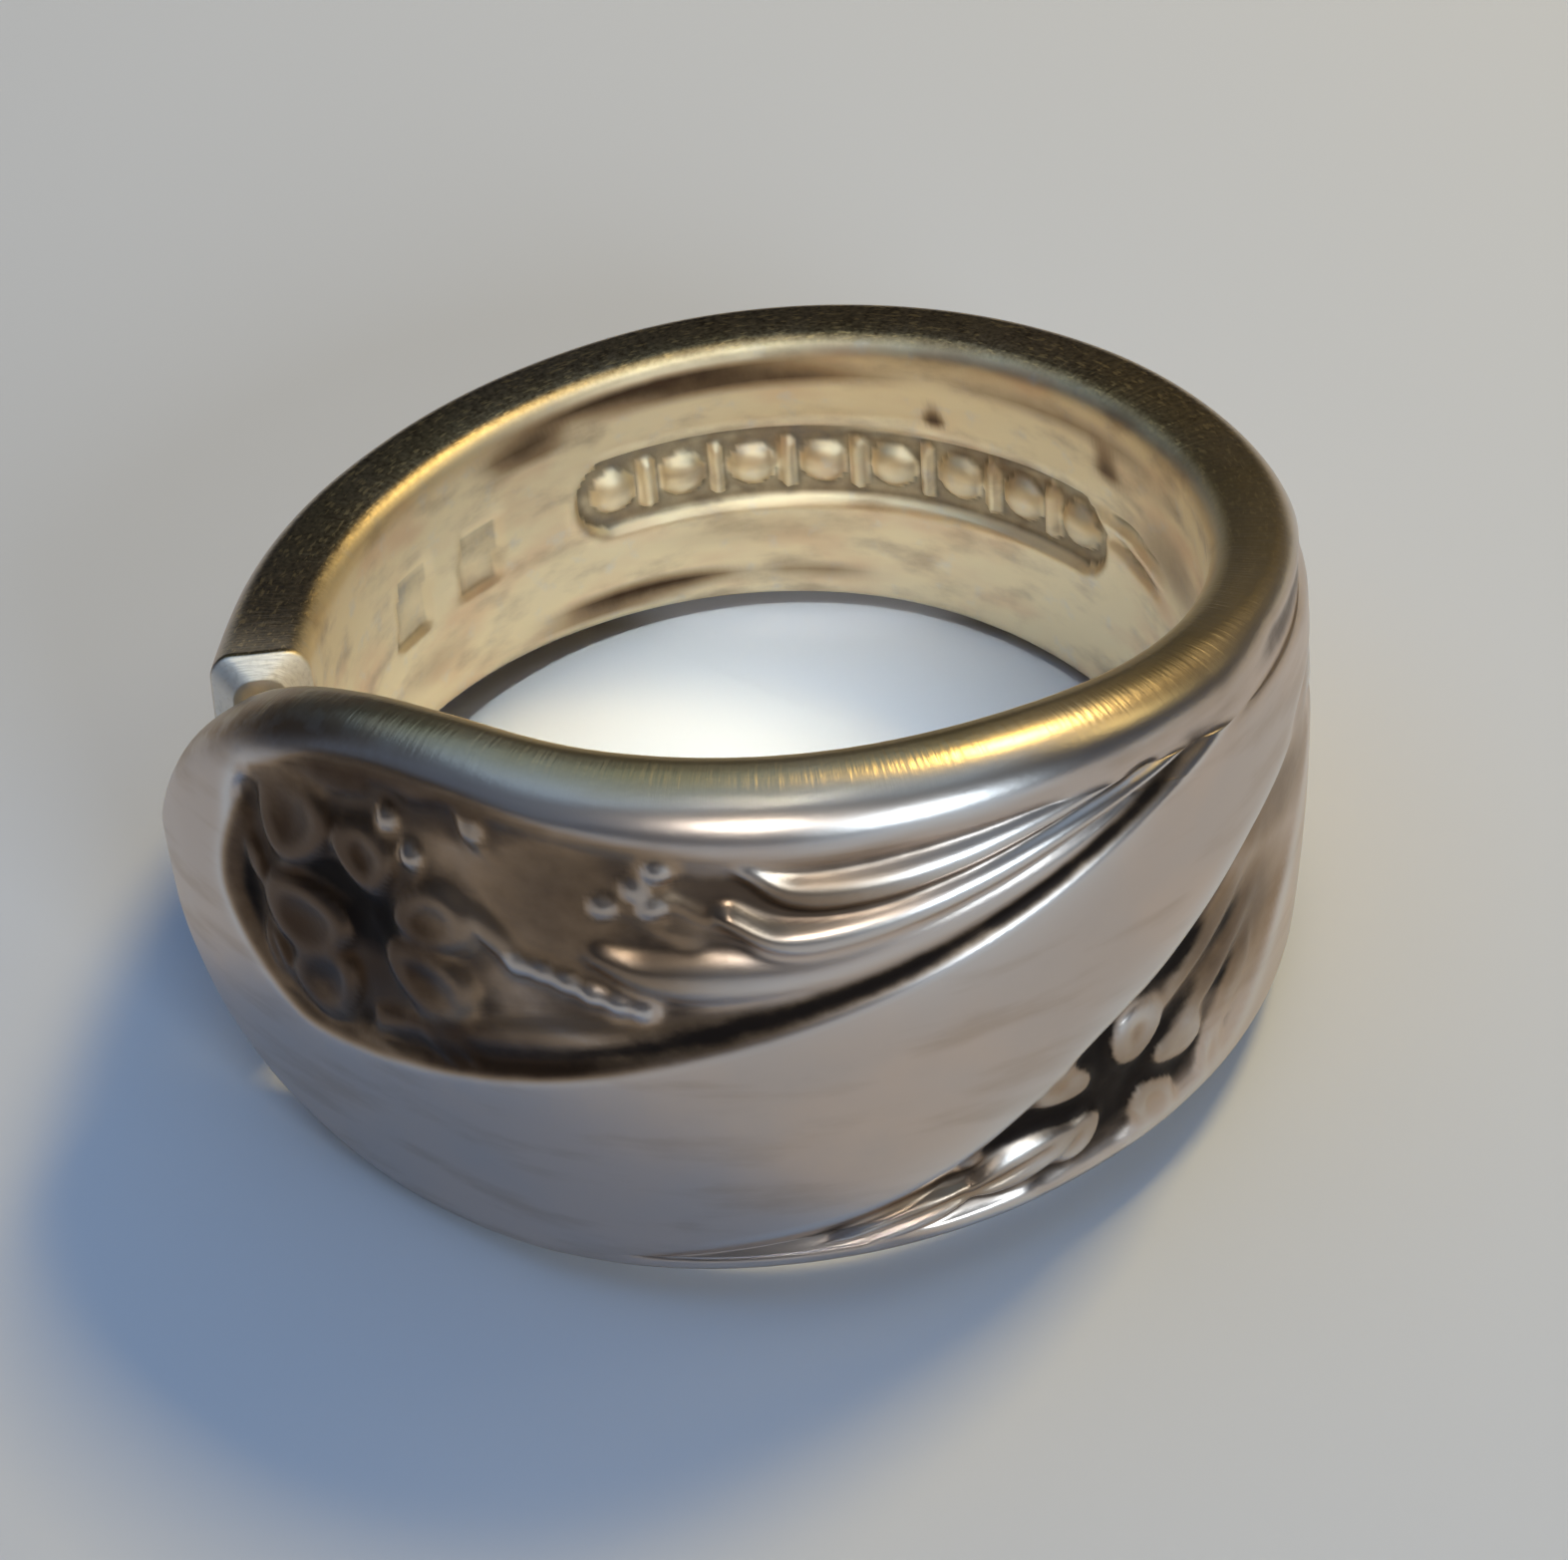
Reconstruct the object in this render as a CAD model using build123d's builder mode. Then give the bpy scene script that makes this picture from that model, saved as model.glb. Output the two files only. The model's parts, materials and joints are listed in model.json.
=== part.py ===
from build123d import *

import os
from itertools import combinations
from math import cos, pi, radians, sin, sqrt

os.makedirs("parts", exist_ok=True)

# A spoon's handle, cut through its stem and wound once round a finger, lying on its side.
# Lengths are millimetres. "Along" runs on the inner face from the cut end to the tip,
# "up" runs across the band from its middle, and "out" runs through the metal.

# Band
finger_radius = 9.2
finger_turn = 297.0
band_width = 12.4
thickness = 2.15
crown_radius = 44.0
edge_round = 0.46
stem_run = 3.7
stem_bend_radius = 19.3
tip_run = 8.8
tip_bend_radius = 26.8
cut_bearing = 183.2
reaming = 0.04
band_length = stem_run + radians(finger_turn) * finger_radius + tip_run

# Struck ornament on the outer face
rim = 0.75
panel_depth = 0.3
petal_length = 1.4
petal_width = 1.1
petal_rise = 0.36
petal_crest = 0.6
petal_count = 5
petal_reach = 1.1
flower_heart = 0.45
berry_radius = 0.36
leaf_length = 2.4
leaf_width = 1.2
leaf_rise = 0.3
leaf_slope = 18.0
leaf_fold = 0.24
flute_radius = 0.42
vine_radius = 0.2
incised_radius = 0.2
trail_taper = 0.35

# Struck marks on the inner face
mark_up = 0.27
cartouche_start = 12.6
cartouche_length = 13.6
cartouche_width = 2.1
cartouche_depth = 0.25
bead_radius = 0.4
bead_count = 8
reel_length = 0.3
reel_height = 1.1
groove_radius = 0.2
punch_start = 6.8
punch_pitch = 2.3
punch_count = 2
punch_length = 1.3
punch_height = 1.7
punch_depth = 0.12
punch_lean = 0.3

# The band's outline, row by row from the cut end: share of band_length, share of
# band_width, height of the middle as a share of band_width, share of thickness
outline = [
    (0.000, 0.570, 0.050, 1.00),
    (0.030, 0.530, 0.024, 1.00),
    (0.062, 0.510, 0.006, 1.00),
    (0.130, 0.505, -0.004, 1.00),
    (0.200, 0.530, 0.002, 1.00),
    (0.270, 0.560, 0.014, 1.00),
    (0.340, 0.590, 0.016, 1.00),
    (0.410, 0.635, 0.004, 1.00),
    (0.480, 0.690, -0.014, 1.00),
    (0.550, 0.755, -0.010, 1.00),
    (0.620, 0.830, 0.008, 1.00),
    (0.690, 0.905, 0.020, 1.00),
    (0.760, 0.945, 0.012, 1.00),
    (0.820, 0.975, -0.004, 1.00),
    (0.870, 1.000, -0.016, 1.00),
    (0.905, 0.955, -0.021, 1.00),
    (0.935, 0.855, -0.021, 1.00),
    (0.960, 0.710, -0.021, 1.00),
    (0.980, 0.520, -0.021, 0.95),
    (0.992, 0.330, -0.021, 0.80),
    (1.000, 0.140, -0.021, 0.50),
]

# Sunk panels either side of the plain ribbon: share of band_length, then the low and the
# high side as shares of the half width inside the rim
upper_panel = [
    (0.590, 0.93, 1.00),
    (0.620, 0.86, 1.00),
    (0.655, 0.70, 1.00),
    (0.690, 0.49, 1.00),
    (0.730, 0.27, 1.00),
    (0.775, 0.07, 1.00),
    (0.820, -0.12, 1.00),
    (0.860, -0.26, 1.00),
    (0.895, -0.34, 0.98),
    (0.925, -0.37, 0.94),
    (0.943, -0.20, 0.84),
    (0.953, 0.05, 0.62),
]
lower_panel = [
    (0.560, 0.34, 0.46),
    (0.590, 0.04, 0.41),
    (0.620, -0.36, 0.22),
    (0.650, -0.78, -0.06),
    (0.680, -0.98, -0.32),
    (0.720, -1.00, -0.66),
    (0.770, -1.00, -0.86),
    (0.810, -1.00, -0.94),
]

# Ornament: each point is a share of band_length and a share of the half width
flutes = [
    [(0.758, 0.82), (0.738, 0.80), (0.718, 0.83), (0.698, 0.85), (0.677, 0.86)],
    [(0.770, 0.74), (0.747, 0.64), (0.721, 0.66), (0.694, 0.70), (0.665, 0.78)],
    [(0.777, 0.59), (0.761, 0.49), (0.735, 0.49), (0.708, 0.57), (0.675, 0.70)],
    [(0.809, 0.39), (0.774, 0.34), (0.748, 0.37), (0.722, 0.44), (0.680, 0.58), (0.642, 0.76)],
    [(0.858, 0.08), (0.813, 0.12), (0.770, 0.20), (0.735, 0.32)],
]
vines = [
    [(0.843, 0.43), (0.828, 0.35), (0.813, 0.23), (0.800, 0.19)],
    [(0.795, 0.74), (0.786, 0.62), (0.776, 0.50)],
    [(0.803, 0.64), (0.792, 0.56), (0.780, 0.46)],
    [(0.655, -0.46), (0.632, -0.22), (0.610, 0.02), (0.585, 0.22)],
    [(0.665, -0.32), (0.645, -0.12), (0.622, 0.08), (0.596, 0.26)],
]
incisions = [
    [(0.620, 0.72), (0.590, 0.79), (0.560, 0.82), (0.530, 0.82), (0.500, 0.80)],
    [(0.585, 0.36), (0.560, 0.44), (0.530, 0.50), (0.495, 0.54)],
    [(0.560, 0.20), (0.540, 0.28), (0.515, 0.32), (0.485, 0.34)],
]
flowers = [(0.885, 0.31), (0.673, -0.57)]
berries = [
    (0.879, 0.71),
    (0.872, 0.60),
    (0.847, 0.76),
    (0.844, 0.56),
    (0.794, 0.80),
    (0.799, 0.72),
    (0.796, 0.62),
    (0.807, 0.63),
]
# Leaves: shares as above, then the bearing of the leaf's length in degrees
leaves = [
    (0.916, 0.58, 70.0),
    (0.870, -0.06, 16.0),
    (0.705, -0.72, 12.0),
    (0.740, -0.82, 8.0),
]
# Grooves that trail off the cartouche on the inner face, in the same shares
tails = [
    [(0.424, 0.33), (0.440, 0.30), (0.458, 0.26), (0.480, 0.20)],
    [(0.430, 0.18), (0.444, 0.14), (0.458, 0.09), (0.474, 0.04)],
]


def from_outline(along, column):
    """A column of the outline, between its rows."""
    share = along / band_length
    for low, high in zip(outline, outline[1:]):
        if share <= high[0]:
            part = (share - low[0]) / (high[0] - low[0])
            return (low[column] + part * (high[column] - low[column])) * band_width
    return outline[-1][column] * band_width


def half_width(along):
    return from_outline(along, 1) / 2


def face_height(up):
    """Distance from the flat inner face to the crowned outer face."""
    return thickness - crown_radius + sqrt(crown_radius**2 - up**2)


def panel_height(up):
    return face_height(up) - panel_depth


def turned(along):
    """Angle in radians that the band has turned since the cut end."""
    stem = min(along, stem_run) / stem_bend_radius
    finger = min(max(along - stem_run, 0), band_length - stem_run - tip_run) / finger_radius
    tip = max(along - band_length + tip_run, 0) / tip_bend_radius
    return stem + finger + tip


def outward(along):
    bearing = radians(cut_bearing) - turned(along)
    return Vector(cos(bearing), sin(bearing))


def inner_foot(along):
    """Point on the inner face's middle line: three arcs that run into each other."""
    middle = Vector(0, 0, from_outline(along, 2))
    if along < stem_run:
        centre = outward(stem_run) * (finger_radius - stem_bend_radius)
        return centre + outward(along) * stem_bend_radius + middle
    if along > band_length - tip_run:
        centre = outward(band_length - tip_run) * (finger_radius - tip_bend_radius)
        return centre + outward(along) * tip_bend_radius + middle
    return outward(along) * finger_radius + middle


def on_band(along, up, out):
    return inner_foot(along) + outward(along) * out + Vector(0, 0, up)


def across(along):
    """Plane that cuts the band squarely: local x is out, local y is up."""
    normal = outward(along)
    return Plane(inner_foot(along), x_dir=normal, z_dir=normal.cross(Vector(0, 0, 1)))


def facing_out(along, up, out, bearing=0.0):
    """Plane that looks out of the band: local x points along, turned up by the bearing."""
    normal = outward(along)
    ahead = normal.cross(Vector(0, 0, 1))
    x_dir = ahead * cos(radians(bearing)) + Vector(0, 0, sin(radians(bearing)))
    return Plane(on_band(along, up, out), x_dir=x_dir, z_dir=normal)


def facing_in(along, up, out):
    """Plane that looks into the finger hole: local x is along, local y is up."""
    normal = outward(along)
    return Plane(on_band(along, up, out), x_dir=normal.cross(Vector(0, 0, 1)), z_dir=-normal)


def spot(point, bearing=0.0):
    """Plane on the struck floor at a point given in shares."""
    along = point[0] * band_length
    up = point[1] * half_width(along)
    return facing_out(along, up, panel_height(up), bearing)


def band_section(along, full):
    """Flat inside, rounded edges, crowned outside."""
    up = half_width(along)
    low = thickness * (1 - full) / 2 - reaming
    high = face_height(up) - low - reaming
    radius = min(edge_round, (high - low) * 0.4)
    flat = up - radius
    shoulder = face_height(flat) - low - reaming
    bulge = radius * (1 - sqrt(0.5))
    with BuildSketch(across(along)) as section:
        with BuildLine():
            Line((low, -flat), (low, flat))
            ThreePointArc((low, flat), (low + bulge, up - bulge), (low + radius, up))
            Line((low + radius, up), (shoulder - radius, up))
            ThreePointArc((shoulder - radius, up), (shoulder - bulge, up - bulge), (shoulder, flat))
            ThreePointArc((shoulder, flat), (thickness - low - reaming, 0), (shoulder, -flat))
            ThreePointArc((shoulder, -flat), (shoulder - bulge, bulge - up), (shoulder - radius, -up))
            Line((shoulder - radius, -up), (low + radius, -up))
            ThreePointArc((low + radius, -up), (low + bulge, bulge - up), (low, -flat))
        make_face()
    return section.sketch


def slot_section(along, low, high, floor, mouth):
    """Four-sided section of a hollow between two heights of the band."""
    with BuildSketch(across(along)) as section:
        with BuildLine():
            Polyline((floor(low), low), (mouth, low), (mouth, high), (floor(high), high), close=True)
        make_face()
    return section.sketch


def panel_sections(rows):
    sections = []
    for share, low, high in rows:
        along = share * band_length
        room = half_width(along) - rim
        sections.append(slot_section(along, low * room, high * room, panel_height, thickness * 2))
    return sections


def ridge_sections(trail, radius, out):
    """Round sections of a rib that follows a trail of points and is fine at both ends."""
    points = []
    for share, height in trail:
        along = share * band_length
        up = height * half_width(along)
        points.append(on_band(along, up, out(up)))
    last = len(points) - 1
    sections = []
    for step, point in enumerate(points):
        ahead = points[min(step + 1, last)]
        behind = points[max(step - 1, 0)]
        swell = trail_taper + (1 - trail_taper) * sin(pi * step / last)
        with BuildSketch(Plane(point, x_dir=(0, 0, 1), z_dir=ahead - behind)) as section:
            Circle(radius * swell)
        sections.append(section.sketch)
    return sections


def cartouche_sections():
    """Sections of a long hollow with round ends."""
    end_radius = cartouche_width / 2
    cartouche_end = cartouche_start + cartouche_length
    end_steps = [end_radius * share for share in (0.02, 0.12, 0.4, 1.0)]
    near = [cartouche_start + step for step in end_steps]
    between = [cartouche_start + cartouche_length * share for share in (0.25, 0.5, 0.75)]
    far = [cartouche_end - step for step in reversed(end_steps)]
    sections = []
    for along in near + between + far:
        from_end = min(along - cartouche_start, cartouche_end - along)
        half = sqrt(end_radius**2 - max(end_radius - from_end, 0) ** 2)
        sections.append(slot_section(along, mark_up - half, mark_up + half, cartouche_floor, -thickness))
    return sections


def cartouche_floor(up):
    return cartouche_depth


def inner_face(up):
    return 0.0


def lower_edges(share):
    """Centres of the lower edge's two roundings, inside and outside."""
    along = share * band_length
    flat = half_width(along) - edge_round
    depths = (edge_round, face_height(flat) - edge_round)
    return [tuple(on_band(along, -flat, out)) for out in depths]


def slope_through(feet):
    """Rise along X, rise along Y and height at the origin of the plane through three feet."""
    (ax, ay, az), (bx, by, bz), (cx, cy, cz) = feet
    area = (bx - ax) * (cy - ay) - (cx - ax) * (by - ay)
    if abs(area) < edge_round**2:
        return None
    rise_x = ((bz - az) * (cy - ay) - (cz - az) * (by - ay)) / area
    rise_y = ((bx - ax) * (cz - az) - (cx - ax) * (bz - az)) / area
    return rise_x, rise_y, az - rise_x * ax - rise_y * ay


def resting_plane():
    """The surface that the band lies on: of all planes under its lower edges, the one that
    is highest below the band's weight."""
    shares = [share for share, _, _, full in outline if full == 1.0]
    feet = [foot for share in shares for foot in lower_edges(share)]
    middles = [on_band(share * band_length, 0, thickness / 2) for share in shares]
    loads = [half_width(share * band_length) for share in shares]
    weight = sum((middle * load for middle, load in zip(middles, loads)), Vector()) / sum(loads)
    best = (0.0, 0.0, -band_width * 2)
    for trio in combinations(feet, 3):
        slope = slope_through(trio)
        if slope is None:
            continue
        rise_x, rise_y, start = slope
        if min(z - rise_x * x - rise_y * y - start for x, y, z in feet) < -0.0001:
            continue
        reach = [rise * place for rise, place in ((rise_x, weight.X), (rise_y, weight.Y))]
        if sum(reach) + start > best[0] * weight.X + best[1] * weight.Y + best[2]:
            best = slope
    normal = Vector(-best[0], -best[1], 1).normalized()
    level = (Vector(1, 0, 0) - normal * normal.X).normalized()
    return Plane(Vector(0, 0, best[2]) - normal * edge_round, x_dir=level, z_dir=normal)


# Forms that the dies raise again and again
with BuildPart() as petal:
    for height, share in ((-petal_rise, 1.0), (petal_rise, petal_crest)):
        with BuildSketch(Plane.XY.offset(height)):
            Ellipse(petal_length * share / 2, petal_width * share / 2)
    loft()

with BuildPart() as leaf:
    with BuildSketch(Plane.XY.offset(-leaf_rise)):
        with BuildLine():
            ThreePointArc((-leaf_length / 2, 0), (0, -leaf_width / 2), (leaf_length / 2, 0))
            ThreePointArc((leaf_length / 2, 0), (0, leaf_width / 2), (-leaf_length / 2, 0))
        make_face()
    extrude(amount=leaf_rise * 2, taper=leaf_slope)
    with BuildSketch(Plane.YZ):
        with BuildLine():
            Polyline((-leaf_fold, leaf_rise * 2), (leaf_fold, leaf_rise * 2), (0, leaf_rise / 2), close=True)
        make_face()
    extrude(amount=leaf_length, both=True, mode=Mode.SUBTRACT)

# Everything that the dies sink, outside and inside
with BuildPart() as hollows:
    for rows in (upper_panel, lower_panel):
        loft(panel_sections(rows))
    loft(cartouche_sections())
    for trail in incisions:
        loft(ridge_sections(trail, incised_radius, face_height))
    for trail in tails:
        loft(ridge_sections(trail, groove_radius, inner_face))
    for step in range(punch_count):
        with BuildSketch(facing_in(punch_start + punch_pitch * step, mark_up, punch_depth)):
            with BuildLine():
                top = punch_height / 2
                end = punch_length + punch_lean
                Polyline((0, -top), (punch_length, -top), (end, top), (punch_lean, top), close=True)
            make_face()
    extrude(amount=thickness)

# Everything that the dies raise, in the panels and in the cartouche
with BuildPart() as raised:
    for trail in flutes:
        loft(ridge_sections(trail, flute_radius, panel_height))
    for trail in vines:
        loft(ridge_sections(trail, vine_radius, panel_height))
    with Locations(*[spot(place) for place in flowers]):
        with PolarLocations(petal_reach, petal_count):
            add(petal.part)
        Sphere(flower_heart)
    with Locations(*[spot(place) for place in berries]):
        Sphere(berry_radius)
    with Locations(*[spot((along, up), bearing=bearing) for along, up, bearing in leaves]):
        add(leaf.part)
    bead_pitch = (cartouche_length - cartouche_width) / (bead_count - 1)
    first_bead = cartouche_start + cartouche_width / 2
    bead_stops = [first_bead + bead_pitch * step for step in range(bead_count)]
    reel_stops = [stop + bead_pitch / 2 for stop in bead_stops[:-1]]
    with Locations(*[facing_in(stop, mark_up, cartouche_depth) for stop in bead_stops]):
        Sphere(bead_radius)
    with Locations(*[facing_in(stop, mark_up, cartouche_depth) for stop in reel_stops]):
        Box(reel_length, reel_height, cartouche_depth * 2)

with BuildPart() as wound:
    loft([band_section(share * band_length, full) for share, _, _, full in outline])
    Cylinder(finger_radius, band_width * 2, mode=Mode.SUBTRACT)
    add(hollows.part, mode=Mode.SUBTRACT)
    add(raised.part)

# Laid on its side, with its box standing on the middle of the floor
floor = resting_plane()
laid = floor.to_local_coords(wound.part)
box = laid.bounding_box()
middle = Plane((box.center().X, box.center().Y, box.min.Z))
with BuildPart() as ring_band:
    add(middle.to_local_coords(laid))
finger_point = middle.to_local_coords(floor.to_local_coords(Vector(0, 0, 0)))
finger_above = middle.to_local_coords(floor.to_local_coords(Vector(0, 0, 1)))
print("finger centre", finger_point, "axis", finger_above - finger_point)

ring_band.part.label = "ring_band"
export_step(ring_band.part, "parts/ring_band.step")
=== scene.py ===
import json
from math import cos, pi, radians, sin, tau

import bmesh
import bpy
import numpy as np
from mathutils import Matrix, Vector


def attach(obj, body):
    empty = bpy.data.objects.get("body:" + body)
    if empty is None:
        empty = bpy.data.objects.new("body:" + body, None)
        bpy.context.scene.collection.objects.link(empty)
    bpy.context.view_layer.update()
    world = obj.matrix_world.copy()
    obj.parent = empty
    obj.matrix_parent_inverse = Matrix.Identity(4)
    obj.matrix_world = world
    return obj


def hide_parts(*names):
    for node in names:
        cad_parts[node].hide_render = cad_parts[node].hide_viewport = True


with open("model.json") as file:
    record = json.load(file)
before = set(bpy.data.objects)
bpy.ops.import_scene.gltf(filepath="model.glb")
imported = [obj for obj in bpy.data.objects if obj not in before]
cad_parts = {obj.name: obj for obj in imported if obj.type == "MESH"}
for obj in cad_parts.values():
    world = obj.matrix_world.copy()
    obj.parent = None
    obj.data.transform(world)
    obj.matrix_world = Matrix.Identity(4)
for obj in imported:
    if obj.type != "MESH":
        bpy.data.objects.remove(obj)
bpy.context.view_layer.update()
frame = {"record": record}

mm = 0.001
fingerHole = next(m for m in frame["record"]["mounts"] if m["name"] == "finger_hole")
holeAxis = Vector(fingerHole["axis"]).normalized()
holeMiddle = Vector(fingerHole["pos_m"])
holeRight = Vector((holeAxis.z, 0, -holeAxis.x)).normalized()
holeBack = holeAxis.cross(holeRight)

# camera: millimetres and degrees, aimed from the middle of the finger hole
cameraView = {
    "distance": 75.33,
    "elevation": 46.43,
    "roll": -5.03,
    "lens": 80.83,
    "sensor": 36,
    "nearest": 5,
    "aim": (0.111, -0.933, -1.086),
}


def addCamera(view):
    rise, roll = radians(view["elevation"]), radians(view["roll"])
    back = Vector((0, -cos(rise), sin(rise)))
    level, upright = Vector((1, 0, 0)), Vector((0, sin(rise), cos(rise)))
    right = level * cos(roll) + upright * sin(roll)
    up = upright * cos(roll) - level * sin(roll)
    place = holeMiddle + Vector(view["aim"]) * mm + back * view["distance"] * mm
    data = bpy.data.cameras.new("camera")
    data.lens = view["lens"]
    data.sensor_width = view["sensor"]
    data.clip_start = view["nearest"] * mm
    camera = bpy.data.objects.new("camera", data)
    camera.matrix_world = Matrix.LocRotScale(place, Matrix((right, up, back)).transposed(), None)
    bpy.context.scene.collection.objects.link(camera)
    bpy.context.scene.camera = camera


addCamera(cameraView)
print("camera placed")

# the wound band, millimetres and degrees; each limit is a share of the metal that a rounding may take
band = {
    "fingerRadius": fingerHole["dims"]["r_mm"],
    "fingerTurn": 297.0,
    "width": 12.4,
    "thickness": 2.15,
    "crownRadius": 44.0,
    "stemRun": 3.7,
    "stemBend": 19.3,
    "tipRun": 8.8,
    "tipBend": 26.8,
    "cutBearing": 183.2,
    "edgeRound": 0.5,
    "rimRound": 1.5,
    "rimWear": (28, 42),
    "leastRound": 0.02,
    "edgeLimit": 0.46,
    "widthLimit": 0.8,
    "rimLimit": 0.96,
    "sawnEdge": 0.48,
    "capInset": 0.9,
    "tipRound": 0.4,
}
bandLength = band["stemRun"] + radians(band["fingerTurn"]) * band["fingerRadius"] + band["tipRun"]

# each section: share of the length, share of the width, height of its middle as a share of the width,
# share of the thickness
outline = [
    (0.000, 0.570, 0.050, 1.00),
    (0.030, 0.530, 0.024, 1.00),
    (0.062, 0.510, 0.006, 1.00),
    (0.130, 0.505, -0.004, 1.00),
    (0.200, 0.530, 0.002, 1.00),
    (0.270, 0.560, 0.014, 1.00),
    (0.340, 0.590, 0.016, 1.00),
    (0.410, 0.635, 0.004, 1.00),
    (0.480, 0.690, -0.014, 1.00),
    (0.550, 0.755, -0.010, 1.00),
    (0.620, 0.830, 0.008, 1.00),
    (0.690, 0.905, 0.020, 1.00),
    (0.760, 0.945, 0.012, 1.00),
    (0.820, 0.975, -0.004, 1.00),
    (0.870, 0.990, -0.016, 1.00),
    (0.905, 0.950, -0.021, 1.00),
    (0.935, 0.850, -0.021, 0.98),
    (0.960, 0.700, -0.021, 0.94),
    (0.980, 0.500, -0.021, 0.84),
    (0.992, 0.300, -0.021, 0.70),
    (1.000, 0.140, -0.021, 0.50),
]


def throughRows(share, rows, index):  # a smooth curve through one column of a table
    x = np.array([row[0] for row in rows])
    y = np.array([row[index] for row in rows])
    slope = np.gradient(y, x)
    at = np.clip(np.searchsorted(x, share) - 1, 0, len(x) - 2)
    step = x[at + 1] - x[at]
    t = np.clip((share - x[at]) / step, 0, 1)
    start = (1 - t) ** 2 * ((1 + 2 * t) * y[at] + t * step * slope[at])
    return start + t**2 * ((3 - 2 * t) * y[at + 1] + (t - 1) * step * slope[at + 1])


def halfWidth(along):
    return throughRows(along / bandLength, outline, 1) * band["width"] / 2


def bearing(along):
    stem = np.minimum(along, band["stemRun"]) / band["stemBend"]
    finger = np.clip(along - band["stemRun"], 0, radians(band["fingerTurn"]) * band["fingerRadius"])
    tip = np.maximum(along - bandLength + band["tipRun"], 0) / band["tipBend"]
    return radians(band["cutBearing"]) - stem - finger / band["fingerRadius"] - tip


def placeOnBand(along, up, out):  # millimetres on the band to metres in the frame
    radius = band["fingerRadius"]
    tipStart = bandLength - band["tipRun"]
    bend = np.where(along < band["stemRun"], band["stemBend"], radius)
    bend = np.where(along > tipStart, band["tipBend"], bend)
    joint = np.clip(along, band["stemRun"], tipStart)
    x = np.cos(bearing(along)) * (bend + out) + np.cos(bearing(joint)) * (radius - bend)
    y = np.sin(bearing(along)) * (bend + out) + np.sin(bearing(joint)) * (radius - bend)
    z = throughRows(along / bandLength, outline, 2) * band["width"] + up
    flat = np.stack([x, y, z], -1)
    turn = np.array([holeRight, holeBack, holeAxis])
    return (flat @ turn) * mm + np.array(holeMiddle)


def smooth(value, low, high):  # 0 below low, 1 above high, an easy slope between
    t = np.clip((value - low) / (high - low), 0, 1)
    return t * t * (3 - 2 * t)


def spline(points, steps=8):  # a smooth curve through a few points
    points = np.array(points, float)
    ends = np.vstack([2 * points[0] - points[1], points, 2 * points[-1] - points[-2]])
    t = np.linspace(0, 1, steps, endpoint=False)[:, None]
    made = []
    for a, b, c, d in zip(ends, ends[1:], ends[2:], ends[3:]):
        turn = 2 * a - 5 * b + 4 * c - d
        sway = 3 * b - a - 3 * c + d
        made.append(0.5 * (2 * b + (c - a) * t + turn * t**2 + sway * t**3))
    return np.vstack(made + [points[-1:]])


def onFace(points):  # shares of the length and of the half width to millimetres
    points = np.array(points, float)
    along = points[:, 0] * bandLength
    return np.stack([along, points[:, 1] * halfWidth(along)], -1)


def nearTrail(along, up, trail):  # distance from a trail and the share of the way along it
    best = np.full(along.shape, 99.0)
    share = np.zeros(along.shape)
    steps = len(trail) - 1
    for index, (start, end) in enumerate(zip(trail, trail[1:])):
        way = end - start
        t = ((along - start[0]) * way[0] + (up - start[1]) * way[1]) / max(way @ way, 1e-9)
        t = np.clip(t, 0, 1)
        gap = np.hypot(along - start[0] - t * way[0], up - start[1] - t * way[1])
        nearer = gap < best
        best = np.where(nearer, gap, best)
        share = np.where(nearer, (index + t) / steps, share)
    return best, share


def nearPlace(along, up, place, radius):  # distance from a place, in shares of a radius
    middle = onFace([place])[0]
    return np.hypot(along - middle[0], up - middle[1]) / radius


def cutShape(along, up, trail, width, taper):  # deepest in the middle of a cut line, shallow at its ends
    gap, share = nearTrail(along, up, spline(onFace(trail)))
    return np.exp(-((gap / width * 2) ** 2)) * np.sin(pi * np.clip(share, taper, 1 - taper))


# the struck relief outside: heights, depths and widths in millimetres, starts and ends in shares of the
# length, and a form's own numbers in shares of that form
relief = {
    "panelDepth": 0.33,
    "ribbonWall": 0.46,
    "tipWall": 0.95,
    "wallWidens": (0.69, 0.82),
    "rimSlope": 1.15,
    "panelsBegin": (0.53, 0.66),
    "panelEdge": (-0.05, 0.3),
    # painted shade on the wall beside the ribbon: its middle and reach in shares of the wall's width, where
    # it begins and fades in shares of the length, and what is left of it near the tip
    "stepPlace": 0.62,
    "stepReach": 0.5,
    "stepBegins": (0.60, 0.67),
    "stepFades": (0.93, 0.86),
    "stepLeast": 0.45,
    "lobeHeight": 0.38,
    "lobeBlunt": 0.5,
    "lobeWidest": 0.25,
    "lobeTaper": 0.72,
    "lobeFall": 0.3,
    "lobeFalls": (0.4, 0.8),
    "lobeEnds": (0.75, 1.0),
    "vineHeight": 0.2,
    "vineWidth": 0.19,
    "vineFall": 0.6,
    "berryRadius": 0.34,
    "berryRise": 0.9,
    "berryEdge": (1.0, 0.7),
    "petalHeight": 0.27,
    "petalSpread": 0.35,
    "petalMiddle": 0.55,
    "petalCup": (0.05, 0.75),
    "petalLip": (1.0, 0.66),
    "creaseDepth": 0.08,
    "creaseWidth": 0.12,
    "leafHeight": 0.3,
    "leafEdge": (1.0, 0.35),
    "leafTip": (0.0, 0.2),
    "midribLeft": 0.55,
    "midribEdge": (0.02, 0.18),
    "fieldHeight": 0.2,
    "heartDome": 0.16,
    "heartRadius": 0.6,
    "heartSink": 0.08,
    "heartEdge": (1.15, 0.75),
    "cutDepth": 0.22,
    "cutWidth": 0.42,
    "cutTaper": 0.03,
    "rimPush": 0.3,
}
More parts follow.
